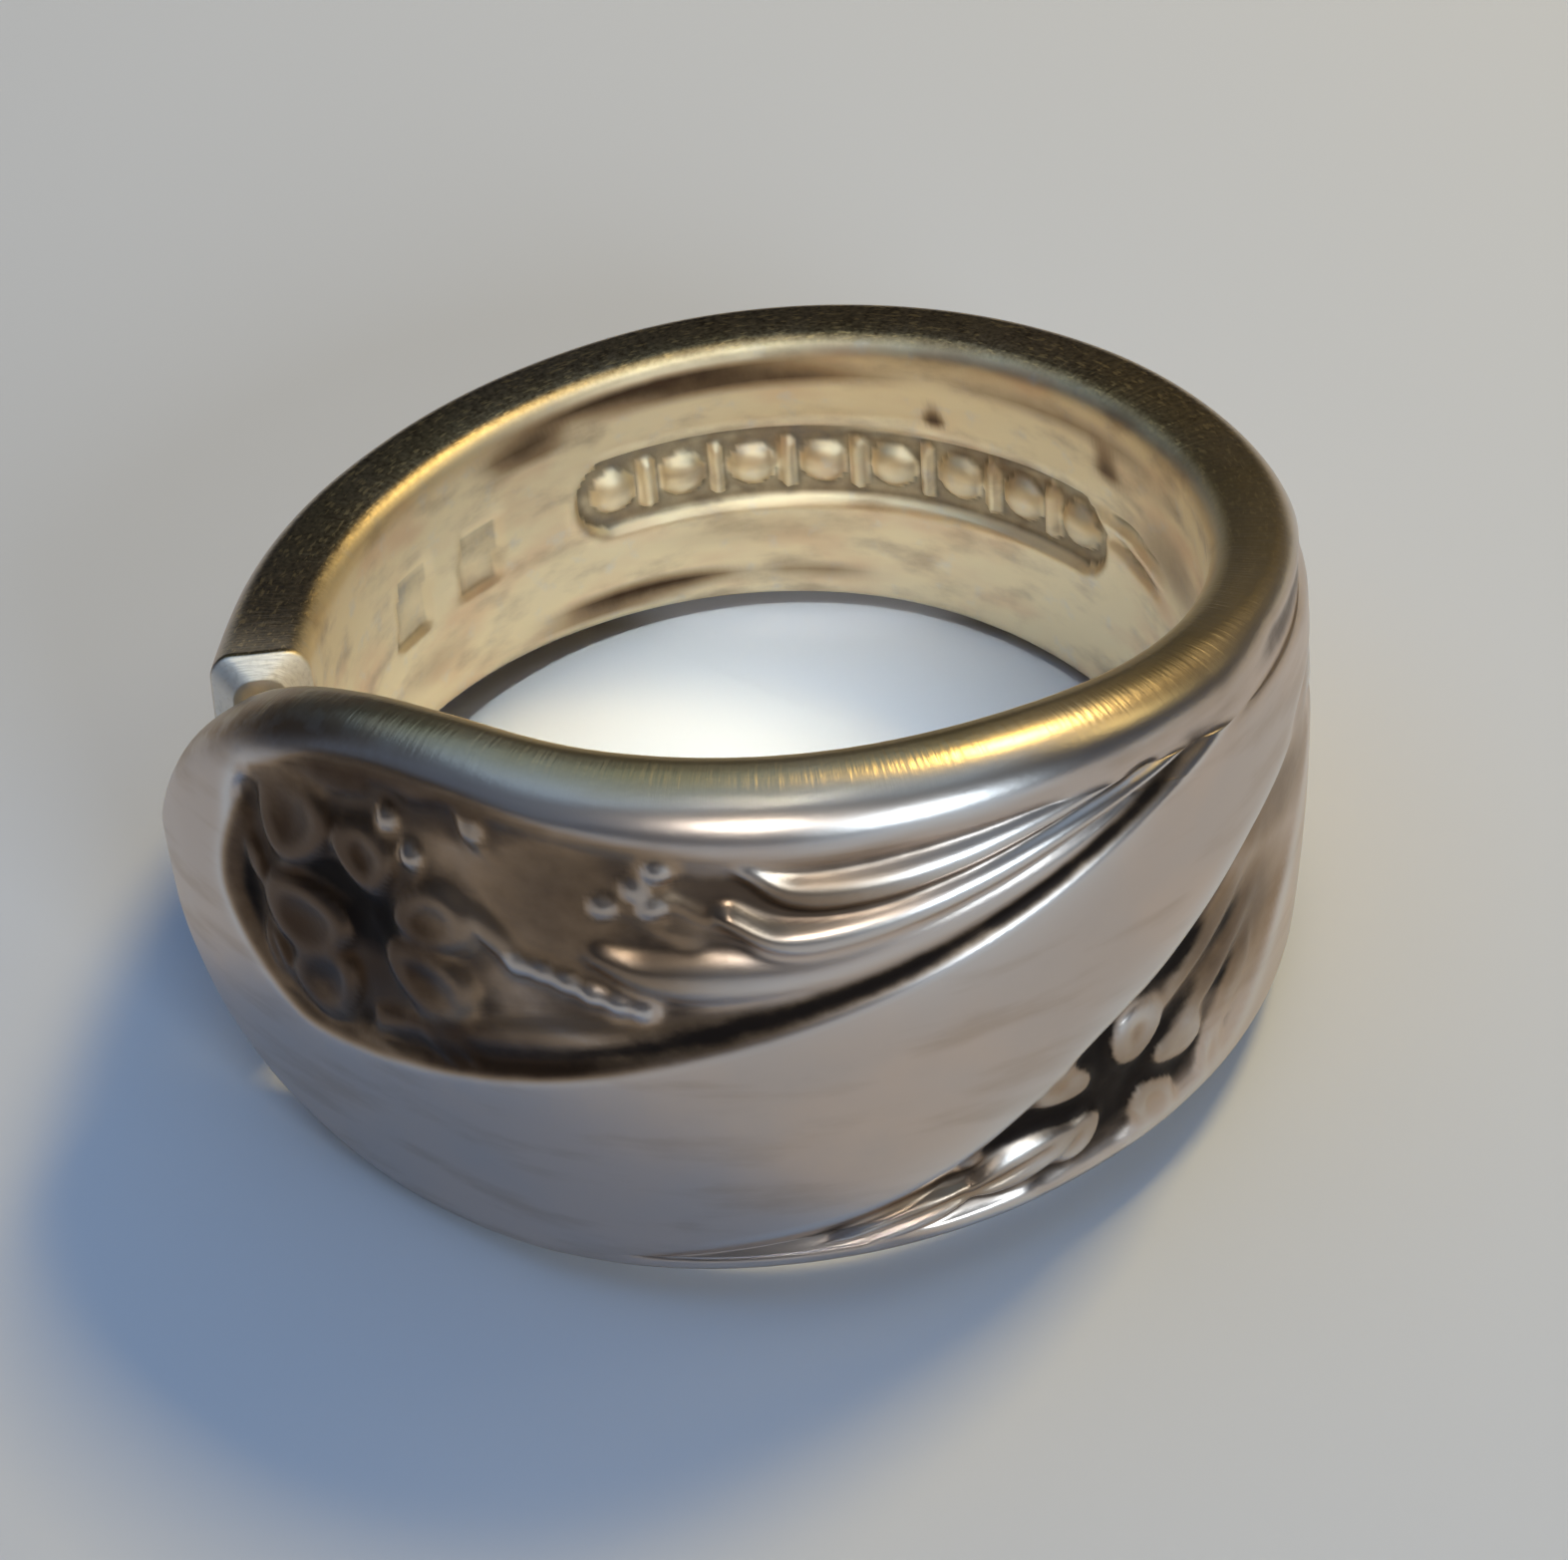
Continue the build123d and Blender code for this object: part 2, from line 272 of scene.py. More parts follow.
# outlines, trails and places, all in shares of the length and of the half width
upperPanel = {
    "ribbonSide": [
        (0.560, 0.90), (0.590, 0.87), (0.620, 0.78), (0.655, 0.62), (0.690, 0.43), (0.730, 0.24),
        (0.775, 0.06), (0.820, -0.11), (0.860, -0.23), (0.895, -0.30), (0.925, -0.32),
    ],
    "tipSide": [(0.945, -0.14), (0.955, 0.12), (0.954, 0.36), (0.946, 0.60)],
    "rimSide": [
        (0.934, 0.84), (0.902, 0.93), (0.860, 0.94), (0.815, 0.89), (0.770, 0.84), (0.720, 0.87),
        (0.660, 0.93), (0.600, 0.96),
    ],
}
lowerPanel = {
    "ribbonSide": [
        (0.560, 0.44), (0.584, 0.38), (0.615, 0.22), (0.640, 0.03), (0.660, -0.12), (0.681, -0.27),
        (0.700, -0.44), (0.725, -0.62), (0.752, -0.74), (0.800, -0.84), (0.850, -0.96),
    ],
    "tipSide": [(0.850, -0.99), (0.765, -0.96), (0.700, -0.94)],
    "rimSide": [(0.662, -0.93), (0.626, -0.87), (0.602, -0.62), (0.578, -0.20), (0.552, 0.20)],
}
# each lobe: widest half width in millimetres, share of the height, then its trail from the blunt end
lobes = [
    (0.82, 0.92, [
        (0.758, 0.86), (0.742, 0.87), (0.718, 0.885), (0.690, 0.90), (0.655, 0.93), (0.620, 0.95),
    ]),
    (0.54, 0.97, [
        (0.772, 0.75), (0.760, 0.66), (0.742, 0.645), (0.718, 0.68), (0.690, 0.74), (0.650, 0.83),
        (0.606, 0.89),
    ]),
    (0.47, 0.92, [
        (0.778, 0.57), (0.764, 0.47), (0.744, 0.48), (0.712, 0.57), (0.680, 0.67), (0.642, 0.77),
        (0.600, 0.85),
    ]),
    (0.74, 0.80, [
        (0.812, 0.40), (0.796, 0.33), (0.762, 0.33), (0.730, 0.41), (0.690, 0.54), (0.648, 0.69),
        (0.596, 0.81),
    ]),
    (0.62, 0.62, [
        (0.890, -0.14), (0.850, -0.03), (0.800, 0.09), (0.750, 0.25), (0.705, 0.44), (0.656, 0.63),
        (0.600, 0.76),
    ]),
    (0.34, 0.66, [(0.652, -0.34), (0.636, -0.18), (0.618, 0.00), (0.598, 0.16), (0.574, 0.27)]),
    (0.30, 0.60, [(0.664, -0.20), (0.646, -0.04), (0.626, 0.13), (0.600, 0.27)]),
    (0.36, 0.66, [(0.645, -0.54), (0.628, -0.36), (0.610, -0.18), (0.586, 0.04)]),
    (0.30, 0.60, [(0.630, -0.76), (0.612, -0.58), (0.596, -0.36), (0.578, -0.06)]),
]
vines = [
    [(0.800, 0.72), (0.792, 0.62), (0.784, 0.55), (0.776, 0.50)],
    [(0.806, 0.62), (0.798, 0.52), (0.786, 0.46)],
    [(0.848, 0.74), (0.838, 0.68), (0.832, 0.62)],
    [(0.884, 0.88), (0.900, 0.86), (0.918, 0.83), (0.934, 0.76)],
]
cuts = [
    [(0.635, 0.73), (0.605, 0.80), (0.575, 0.835), (0.540, 0.84), (0.500, 0.81)],
    [(0.590, 0.36), (0.565, 0.44), (0.530, 0.50), (0.490, 0.54)],
    [(0.572, 0.21), (0.548, 0.28), (0.518, 0.33), (0.480, 0.35)],
    [(0.625, 0.84), (0.595, 0.89), (0.560, 0.905), (0.520, 0.88)],
]
berries = [
    (0.878, 0.72), (0.870, 0.60), (0.847, 0.78), (0.795, 0.735), (0.801, 0.665), (0.797, 0.60),
    (0.810, 0.59), (0.836, 0.31), (0.829, 0.30), (0.822, 0.275), (0.815, 0.24), (0.808, 0.215),
    (0.801, 0.20),
]
# each petal, leaf or field: place, bearing of its length in degrees, length and width in millimetres
petals = [
    (0.916, 0.19, -17, 2.9, 2.3), (0.911, -0.06, -52, 2.6, 1.9), (0.868, 0.13, 212, 2.5, 2.0),
    (0.864, 0.38, 157, 2.3, 1.7), (0.888, 0.54, 84, 2.0, 1.8), (0.918, 0.60, 112, 3.0, 2.2),
    (0.664, -0.40, 100, 1.85, 1.35), (0.689, -0.47, 25, 1.5, 1.1), (0.684, -0.76, -48, 1.5, 1.1),
    (0.656, -0.80, 238, 1.6, 1.15), (0.646, -0.60, 178, 1.6, 1.1),
]
hearts = [(0.887, 0.29, 0.42), (0.668, -0.59, 0.36)]  # place and radius in millimetres
leaves = [
    (0.843, 0.40, 225, 1.8, 0.8), (0.630, -0.80, 98, 2.0, 0.95), (0.701, -0.76, -18, 2.5, 1.6),
    (0.736, -0.85, -18, 3.1, 1.25), (0.862, -0.12, 22, 2.5, 1.0), (0.726, -0.62, 24, 2.0, 0.7),
    (0.618, -0.52, 118, 2.3, 0.8), (0.933, -0.05, 70, 1.7, 0.85), (0.888, -0.24, 8, 2.2, 0.7),
    (0.938, 0.36, 86, 1.6, 0.6), (0.898, 0.80, 172, 2.2, 0.7), (0.865, 0.84, 176, 1.7, 0.6),
]
fields = [(0.824, 0.62, 96, 5.6, 3.6)]


def lobeShape(gap, share, reach):  # a long lobe, blunt at its start and fine at its end
    blunt, widest = relief["lobeBlunt"], relief["lobeWidest"]
    swell = blunt + (1 - blunt) * smooth(share, 0, widest)
    swell = swell * (1 - relief["lobeTaper"] * smooth(share, widest, 1))
    across = np.clip(1 - (gap / (reach * swell)) ** 2, 0, 1)
    fall = 1 - relief["lobeFall"] * smooth(share, *relief["lobeFalls"])
    return across * fall * (1 - smooth(share, *relief["lobeEnds"]))


def turnedTo(along, up, place, degrees):  # local coordinates of a petal or leaf
    spot = onFace([place[:2]])[0]
    x, y = along - spot[0], up - spot[1]
    turn = radians(degrees)
    return x * cos(turn) + y * sin(turn), y * cos(turn) - x * sin(turn)


def petalShape(x, y, length, width):  # cupped and creased, wider at its outer end, with a raised lip
    spread = width * (1 + relief["petalSpread"] * np.clip(2 * x / length, -1, 1))
    reach = np.sqrt((2 * x / length) ** 2 + (2 * y / spread) ** 2)
    middle = relief["petalMiddle"]
    crease = relief["creaseDepth"] * np.exp(-((y / relief["creaseWidth"]) ** 2)) * (reach < 1)
    cup = middle + (1 - middle) * smooth(reach, *relief["petalCup"]) - crease
    return smooth(reach, *relief["petalLip"]) * cup


def leafShape(x, y, length, width):  # pointed, with a midrib groove
    side = np.clip(1 - (2 * x / length) ** 2, 0, 1) * width / 2
    across = smooth(np.abs(y) / np.maximum(side, 0.01), *relief["leafEdge"])
    left = relief["midribLeft"]
    groove = left + (1 - left) * smooth(np.abs(y), *relief["midribEdge"])
    return across * groove * smooth(side, *relief["leafTip"])


def fieldShape(x, y, length, width):  # a low smooth swelling
    return np.clip(1 - (2 * x / length) ** 2 - (2 * y / width) ** 2, 0, 1) ** 2


def signedDistance(along, up, polygon):  # positive inside
    gap, _ = nearTrail(along, up, np.vstack([polygon, polygon[:1]]))
    inside = np.zeros(along.shape, bool)
    for (ax, ay), (bx, by) in zip(polygon, np.roll(polygon, -1, axis=0)):
        crosses = (ay > up) != (by > up)
        inside ^= crosses & (along < (bx - ax) * (up - ay) / (by - ay + 1e-12) + ax)
    return np.where(inside, gap, -gap)


def panelShape(along, up, panel, rimSlope):  # its depth from 0 to 1, way in from the ribbon, 1 within it
    low = spline(onFace(panel["ribbonSide"] + panel["tipSide"]))
    high = spline(onFace(panel["rimSide"]))
    depth = signedDistance(along, up, np.vstack([low, high]))
    fromLow, _ = nearTrail(along, up, low)
    fromHigh, _ = nearTrail(along, up, high)
    share = along / bandLength
    widening = smooth(share, *relief["wallWidens"])
    reach = relief["ribbonWall"] + (relief["tipWall"] - relief["ribbonWall"]) * widening
    slope = smooth(fromLow / reach, 0, 1) * smooth(fromHigh, 0, rimSlope)
    floor = np.where(depth > 0, slope, 0) * smooth(share, *relief["panelsBegin"])
    return floor, fromLow / reach * (depth > 0), smooth(depth, *relief["panelEdge"])


def outerRelief(along, up):
    depth = relief["panelDepth"]
    panels, fromRibbon, within = panelShape(along, up, upperPanel, relief["rimSlope"])
    lower, _, withinLower = panelShape(along, up, lowerPanel, relief["ribbonWall"])
    panels, within = np.maximum(panels, lower), np.maximum(within, withinLower)
    share = along / bandLength
    # painted shade along the wall beside the ribbon
    step = np.exp(-(((fromRibbon - relief["stepPlace"]) / relief["stepReach"]) ** 2))
    step = step * smooth(share, *relief["stepBegins"])
    step = step * (relief["stepLeast"] + (1 - relief["stepLeast"]) * smooth(share, *relief["stepFades"]))
    raised = np.full(along.shape, -depth)
    for *place, degrees, length, width in fields:
        x, y = turnedTo(along, up, place, degrees)
        raised = raised + relief["fieldHeight"] * fieldShape(x, y, length, width)
    for reach, high, trail in lobes:
        gap, share = nearTrail(along, up, spline(onFace(trail)))
        raised = np.maximum(raised, relief["lobeHeight"] * high * lobeShape(gap, share, reach) - depth)
    for trail in vines:
        gap, share = nearTrail(along, up, spline(onFace(trail)))
        shape = np.clip(1 - (gap / relief["vineWidth"]) ** 2, 0, 1) * (1 - relief["vineFall"] * share)
        raised = np.maximum(raised, relief["vineHeight"] * shape - depth)
    beads = np.zeros(along.shape)
    for place in berries:
        gap = nearPlace(along, up, place, relief["berryRadius"])
        proud = relief["berryRadius"] * relief["berryRise"] * np.clip(1 - gap**2, 0, 1)
        beads = np.maximum(beads, smooth(gap, *relief["berryEdge"]))
        raised = np.maximum(raised, np.where(proud > 0, proud - depth * panels, -depth))
    for table, high, form in ((petals, "petalHeight", petalShape), (leaves, "leafHeight", leafShape)):
        for *place, degrees, length, width in table:
            x, y = turnedTo(along, up, place, degrees)
            raised = np.maximum(raised, relief[high] * form(x, y, length, width) - depth)
    for *place, radius in hearts:
        gap = nearPlace(along, up, place, radius)
        dome = relief["heartDome"] * np.clip(1 - (gap / relief["heartRadius"]) ** 2, 0, 1)
        dome = dome - relief["heartSink"]
        raised = raised + (dome - depth - raised) * smooth(gap, *relief["heartEdge"])
    height = np.maximum(-depth * panels, raised)
    height = np.where(panels > 0, height, np.maximum(height, 0))
    for trail in cuts:
        shape = cutShape(along, up, trail, relief["cutWidth"], relief["cutTaper"])
        height = height - relief["cutDepth"] * shape
    return {"height": height, "panels": panels, "step": step, "within": within, "beads": beads}


# the struck marks inside: a sunk cartouche with a row of beads and reels, two grooves and two bare frames,
# in millimetres; the cartouche has a start, a length and a width, and each punch a start
marks = {
    "up": 0.27,
    "cartouche": (12.6, 13.6, 2.1),
    "cartoucheDepth": 0.24,
    "cartoucheWall": 0.16,
    "lipHeight": 0.05,
    "lipReach": 0.1,
    "beads": 8,
    "beadRadius": 0.56,
    "beadHeight": 0.3,
    "reelLength": 0.17,
    "reelHeight": 0.68,
    "reelWall": (-0.08, 0.04),
    "punches": (6.8, 9.1),
    "punchSize": (1.3, 1.7),
    "punchCorner": 0.12,
    "punchLean": 0.3,
    "punchDepth": 0.12,
    "punchWall": 0.1,
    "grooveDepth": 0.2,
    "grooveWidth": 0.3,
    "grooveTaper": 0.05,
}
grooves = [
    [(0.424, 0.33), (0.440, 0.30), (0.458, 0.26), (0.480, 0.20)],
    [(0.430, 0.18), (0.444, 0.14), (0.458, 0.09), (0.474, 0.04)],
]


def roundedBox(x, y, halfX, halfY, corner):  # negative inside
    dx, dy = np.abs(x) - halfX + corner, np.abs(y) - halfY + corner
    return np.hypot(np.maximum(dx, 0), np.maximum(dy, 0)) + np.minimum(np.maximum(dx, dy), 0) - corner


def innerRelief(along, up):
    start, length, width = marks["cartouche"]
    depth = marks["cartoucheDepth"]
    local = up - marks["up"]
    edge = roundedBox(along - start - length / 2, local, length / 2, width / 2, width / 2)
    height = -depth * (1 - smooth(edge, -marks["cartoucheWall"], 0))
    height += marks["lipHeight"] * np.exp(-(((edge - marks["lipReach"]) / marks["lipReach"]) ** 2))
    pitch = (length - width) / (marks["beads"] - 1)
    for index in range(marks["beads"]):
        x = along - start - width / 2 - index * pitch
        gap = np.hypot(x, local) / marks["beadRadius"]
        height = np.maximum(height, marks["beadHeight"] * np.sqrt(np.clip(1 - gap**2, 0, 1)) - depth)
        if index:
            halfLong = marks["reelLength"]
            reel = roundedBox(x + pitch / 2, local, halfLong, marks["reelHeight"], halfLong)
            height = np.maximum(height, -depth * smooth(reel, *marks["reelWall"]))
    wide, tall = marks["punchSize"]
    for place in marks["punches"]:
        x = along - place - wide / 2 - marks["punchLean"] * (local / tall + 0.5)
        frameEdge = roundedBox(x, local, wide / 2, tall / 2, marks["punchCorner"])
        height -= marks["punchDepth"] * (1 - smooth(frameEdge, -marks["punchWall"], 0))
    for trail in grooves:
        shape = cutShape(along, up, trail, marks["grooveWidth"], marks["grooveTaper"])
        height = height - marks["grooveDepth"] * shape
    return height


# the mesh: rows along the band and columns round its section, with each place in millimetres and the gap
# between rows there, and the counts of columns on the face
mesh = {
    "rowGaps": [
        (0, 0.24), (6, 0.24), (6.5, 0.16), (11, 0.16), (12.4, 0.13), (26.4, 0.13), (27.5, 0.24), (32, 0.17),
        (37, 0.085), (39, 0.068), (44, 0.068), (45.5, 0.082), (50, 0.078), (51, 0.062), (58.3, 0.062),
        (60, 0.05),
    ],
    "filedRows": (0.0, 0.06, 0.5, 0.92, 1.0),
    "capRows": 5,
    "leastRow": 0.05,
    "face": {"lowerPanel": 28, "lowerWall": 9, "ribbon": 14, "upperWall": 10, "upperPanel": 46},
    "wallReach": (0.12, 0.56),
    "leastWall": 0.35,
    "leastLower": 0.3,
    "leastUpper": 0.5,
    "crowdedWidth": (2.6, 5.0),
    "inner": 32,
    "corner": 4,
    "rimCorner": 12,
    "side": 2,
    "marksBegin": (4, 7),
    "marksEnd": (28, 31),
    "markCrowding": 0.6,
    "bareInset": 0.3,
    "mergeReach": 1e-4,
}
faceColumns = sum(mesh["face"].values())
faceKnots = np.concatenate([[0], np.cumsum(list(mesh["face"].values()))]) / faceColumns


def sectionColumns():  # round it: share of the flat half width, turn of the normal, share of the way in
    def stretch(count, q, turn, way):
        return np.stack([np.linspace(*pair, count, endpoint=False) for pair in (q, turn, way)], -1)

    corner, side, quarter = mesh["corner"], mesh["side"], pi / 2
    return np.vstack([
        stretch(faceColumns, (-1, 1), (0, 0), (0, 0)),
        stretch(mesh["rimCorner"], (1, 1), (0, quarter), (0, 0)),
        stretch(side, (1, 1), (quarter, quarter), (0, 1)),
        stretch(corner, (1, 1), (quarter, pi), (1, 1)),
        stretch(mesh["inner"], (1, -1), (pi, pi), (1, 1)),
        stretch(corner, (-1, -1), (pi, 3 * quarter), (1, 1)),
        stretch(side, (-1, -1), (3 * quarter, 3 * quarter), (1, 0)),
        stretch(corner + 1, (-1, -1), (3 * quarter, tau + quarter / corner), (0, 0)),
    ])[:-1]


def bandRows():  # along the band: place and inset of each row
    places = [0.0]
    gaps = np.array(mesh["rowGaps"])
    while places[-1] < bandLength:
        places.append(places[-1] + np.interp(places[-1], gaps[:, 0], gaps[:, 1]))
    body = np.array(places) * bandLength / places[-1]
    turn = np.linspace(0, pi / 2, mesh["capRows"], endpoint=False)
    sawn, tip = band["sawnEdge"], band["tipRound"]
    body = body[(body > sawn + mesh["leastRow"]) & (body < bandLength - tip)]
    filed = np.array(mesh["filedRows"])
    tipAlong, tipInset = bandLength - tip * (1 - np.cos(turn[::-1])), tip * (1 - np.sin(turn[::-1]))
    along = np.concatenate([[0], sawn * filed, body, tipAlong])
    inset = np.concatenate([[band["capInset"]], sawn * (1 - filed), body * 0, tipInset])
    return along, inset


def besideRibbon(along, panel):  # height of the ribbon's edge and how much its slant stretches a wall
    line = spline(onFace(panel["ribbonSide"]))
    share = line[:, 1] / halfWidth(line[:, 0])
    up = np.interp(along, line[:, 0], share) * halfWidth(along)
    slant = np.interp(along, line[:, 0], np.gradient(line[:, 1], line[:, 0]), 0, 0)
    return up, np.hypot(1, slant)


def acrossFace(share, along, low, high):  # heights of the face's columns, crowded at the ribbon's edges
    lip, foot = mesh["wallReach"]
    top, topSlant = besideRibbon(along, upperPanel)
    bottom, bottomSlant = besideRibbon(along, lowerPanel)
    upperFoot = np.minimum(top + foot * topSlant, high - mesh["leastUpper"])
    upperLip = np.minimum(top - lip * topSlant, upperFoot - mesh["leastWall"])
    lowerFoot = np.maximum(bottom - foot * bottomSlant, low + mesh["leastLower"])
    lowerLip = np.maximum(bottom + lip * bottomSlant, lowerFoot + mesh["leastWall"])
    knots = np.stack([low, lowerFoot, lowerLip, upperLip, upperFoot, high])
    plain = low + faceKnots[:, None] * (high - low)
    knots = plain + (knots - plain) * smooth(high - low, *mesh["crowdedWidth"])
    at = np.clip(np.searchsorted(faceKnots, share, side="right") - 1, 0, len(faceKnots) - 2)
    part = (share - faceKnots[at]) / (faceKnots[at + 1] - faceKnots[at])
    every = np.arange(len(share))
    return knots[at, every] * (1 - part) + knots[at + 1, every] * part


def blurred(values, rows, columns, rowReach, columnReach):  # box blur over the grid, run twice
    grid = values.reshape(rows, columns)
    for reach, mode, turned in ((rowReach, "edge", False), (columnReach, "wrap", True)) * 2:
        table = grid.T if turned else grid
        total = np.cumsum(np.pad(table, ((reach + 1, reach), (0, 0)), mode=mode), axis=0)
        table = (total[2 * reach + 1:] - total[: -2 * reach - 1]) / (2 * reach + 1)
        grid = table.T if turned else table
    return grid.reshape(-1)


def bandSurface(rowIndex, columnIndex):  # everything that is known of each grid vertex
    rowAlong, rowInset = bandRows()
    columns = sectionColumns()
    along, inset = rowAlong[rowIndex], rowInset[rowIndex]
    q, turn, way = (columns[columnIndex, part] for part in range(3))
    inside = way == 1
    marked = smooth(along, *mesh["marksBegin"]) * (1 - smooth(along, *mesh["marksEnd"]))
    marked = marked * inside * mesh["markCrowding"]
    q = np.where(np.abs(q) < 1, q * (1 - marked * (1 - q * q)), q)
    full = throughRows(along / bandLength, outline, 3)
    half = halfWidth(along) - inset
    low = band["thickness"] * (1 - full) / 2 + inset
    crown = band["crownRadius"]

    def faceHeight(up):
        return band["thickness"] - crown + np.sqrt(crown**2 - up**2) - low

    metal = faceHeight(half) - low
    room = np.minimum(metal * band["edgeLimit"], half * band["widthLimit"])
    edge = np.clip(np.minimum(band["edgeRound"], room), band["leastRound"], None)
    worn = band["edgeRound"] + (band["rimRound"] - band["edgeRound"]) * smooth(along, *band["rimWear"])
    rim = np.clip(np.minimum(worn, metal * band["rimLimit"] - edge), edge, None)
    outerRound = np.where(q >= 1, rim, edge)
    rounding = (1 - way) * outerRound + way * edge
    onFlat = np.abs(q) < 1
    onOuter = onFlat & (way == 0) & (turn == 0)
    up = np.where(onFlat, (half - edge) * q, q * (half - rounding))
    up = np.where(onOuter, acrossFace((q + 1) / 2, along, edge - half, half - rim), up)
    out = (1 - way) * (faceHeight(half - outerRound) - outerRound) + way * (low + edge)
    out = np.where(onOuter, faceHeight(up) - rounding, out)
    faceUp, faceIn = up + rounding * np.sin(turn), np.cos(turn)
    plain = smooth(inset, mesh["bareInset"], 0)
    outside = outerRelief(along, faceUp)
    height = blurred(outside["height"], len(rowAlong), len(columns), 1, 1)
    struck = innerRelief(along, faceUp)
    bump = np.where(faceIn > 0, height * faceIn, struck * -faceIn) * plain
    up = faceUp + bump * np.sin(turn) * relief["rimPush"]
    out = out + rounding * faceIn + bump * np.cos(turn)
    return {**outside, "along": along, "up": up, "out": out, "facing": faceIn, "bump": bump}


# where patina gathers, and the painted shade on the wall beside the ribbon: each blur in rows and columns,
# each depth where it starts and is full in millimetres, and how much of it shows
tarnishAndShade = {
    "outsideTurn": (-0.2, 0.3),
    "nearBlur": (6, 4),
    "nearDepth": (0.01, 0.1),
    "nearShare": 0.6,
    "wideBlur": (14, 9),
    "wideDepth": (0.03, 0.2),
    "wideShare": 0.55,
    "crestRise": (0.0, 0.06),
    "floorDepth": (0.2, 0.3),
    "floorSide": (0.0, -1.0),
    "floorShare": 0.35,
    "stepBrown": 0.8,
    "stepBlack": 0.5,
    "stepBlacker": 0.45,
    "blackerFrom": (50.5, 47.5),
    "spotDepth": (0.15, 0.27),
    "berriesRubbed": 0.45,
}
# each stain: 0 brown in a panel, 1 brown inside the ring, 2 black in a panel's hollows; its place along and
# up in millimetres, its reach along and up, and its strength
stains = [
    (1, 21.3, 1.86, 0.28, 0.22, 1.0), (1, 26.2, 2.45, 0.5, 0.3, 0.9), (1, 11.5, 2.3, 1.3, 0.35, 0.8),
    (1, 15.5, 2.78, 4.6, 0.34, 1.0), (1, 13.9, -2.6, 2.6, 0.3, 1.0), (1, 18.0, -2.75, 1.6, 0.2, 0.6),
    (1, 17.0, -1.4, 2.5, 0.5, 0.25), (1, 8.0, -1.6, 1.5, 0.5, 0.3), (1, 29.0, 1.5, 1.8, 0.8, 0.45),
    (1, 25.0, 3.0, 5.0, 0.3, 0.5), (0, 54.6, 1.6, 4.3, 4.4, 1.0), (0, 49.2, 3.4, 2.8, 2.8, 0.7),
    (0, 50.8, -0.7, 4.8, 1.3, 0.95), (0, 46.6, 3.6, 3.0, 1.0, 0.6), (0, 40.4, -3.2, 2.4, 1.6, 0.5),
    (0, 47.0, 0.6, 3.6, 0.8, 0.6), (0, 52.8, 5.0, 4.4, 1.0, 0.9), (2, 53.4, 1.75, 1.1, 1.0, 1.0),
    (2, 51.7, 0.5, 1.2, 0.4, 0.6), (2, 54.6, 2.5, 0.9, 0.4, 0.9), (2, 55.4, -1.1, 1.0, 0.5, 0.7),
    (2, 57.0, 0.9, 0.5, 2.0, 0.7), (2, 48.3, 2.6, 0.8, 1.0, 0.4), (2, 40.4, -3.1, 1.3, 1.1, 1.1),
    (2, 41.2, -1.9, 1.2, 0.5, 0.9), (2, 42.4, -3.1, 1.2, 0.5, 0.9), (2, 39.0, -3.7, 0.8, 0.5, 0.9),
    (0, 37.4, -1.4, 2.4, 1.9, 0.7), (0, 35.6, 0.7, 2.4, 1.2, 0.6), (2, 38.4, -0.9, 1.4, 0.5, 0.7),
    (2, 37.6, -2.3, 1.2, 0.4, 0.7), (0, 43.6, -4.4, 1.8, 0.7, 0.5),
]


def tarnishAndShadeOf(surface, rows, columns):
    bump, facing = surface["bump"], surface["facing"]
    outside = smooth(facing, *tarnishAndShade["outsideTurn"])
    around = blurred(bump, rows, columns, *tarnishAndShade["nearBlur"])
    wider = blurred(bump, rows, columns, *tarnishAndShade["wideBlur"])
    hollow = tarnishAndShade["nearShare"] * smooth(around - bump, *tarnishAndShade["nearDepth"])
    hollow = hollow + tarnishAndShade["wideShare"] * smooth(wider - bump, *tarnishAndShade["wideDepth"])
    lowFloor = smooth(-bump, *tarnishAndShade["floorDepth"]) * surface["panels"]
    lowFloor = lowFloor * smooth(surface["up"], *tarnishAndShade["floorSide"])
    crest = smooth(bump - around, *tarnishAndShade["crestRise"])
    # painted shade: the wall beside the ribbon is painted brown and black, partly patina in that corner
    patch = tarnishAndShade["stepBrown"] * outside * surface["step"] ** 2
    deep = smooth(surface["along"], *tarnishAndShade["blackerFrom"]) * tarnishAndShade["stepBlacker"] + tarnishAndShade["stepBlack"]
    black = outside * (deep * surface["step"] + tarnishAndShade["floorShare"] * lowFloor)
    for side, along, up, reachAlong, reachUp, strength in stains:
        gap = np.hypot((surface["along"] - along) / reachAlong, (surface["up"] - up) / reachUp)
        on = outside * surface["within"] if side != 1 else 1 - outside
        spot = strength * np.exp(-(gap**3)) * on
        if side == 2:
            black = black + spot * smooth(-bump, *tarnishAndShade["spotDepth"])
        else:
            patch = np.maximum(patch, spot)
    patch = patch * (1 - tarnishAndShade["berriesRubbed"] * surface["beads"] * outside)
    made = {"hollow": hollow, "patch": patch, "crest": crest, "black": black}
    return {name: np.clip(values, 0, 1) for name, values in made.items()}


